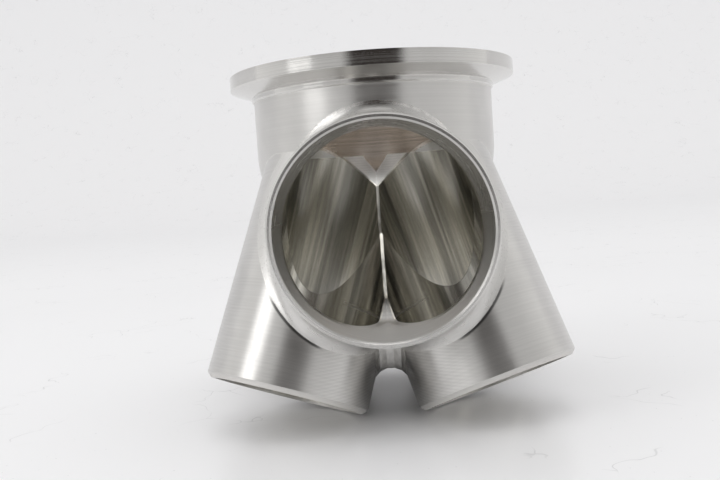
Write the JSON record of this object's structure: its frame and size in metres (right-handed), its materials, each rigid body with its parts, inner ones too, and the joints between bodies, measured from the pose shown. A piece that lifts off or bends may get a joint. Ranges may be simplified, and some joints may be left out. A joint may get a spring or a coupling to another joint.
{
  "type": "exhaust merge collector",
  "caption": "Rigid stainless exhaust merge collector: splayed inlet legs join under a round outlet with a V-band flange, with a large round side port.",
  "frame": {"origin": "centre of the outlet flange's mating face", "axes": "+Z out of the outlet along its axis, -Y out of the side port, +X to the right as seen into the side port"},
  "size_m": [0.1074, 0.1135, 0.1055],
  "materials": {
    "turned_stainless": "turned and brushed stainless steel",
    "milled_stainless": "ball-milled and brushed stainless steel"
  },
  "bodies": {
    "root": {"outlet_flange": "turned_stainless", "outlet_neck": "turned_stainless", "merge_core": "milled_stainless", "inlet_leg_front_left": "milled_stainless", "inlet_leg_front_right": "milled_stainless", "inlet_leg_rear_left": "milled_stainless", "inlet_leg_rear_right": "milled_stainless", "side_port_saddle": "turned_stainless", "side_port_ring": "turned_stainless"}
  },
  "joints": []
}
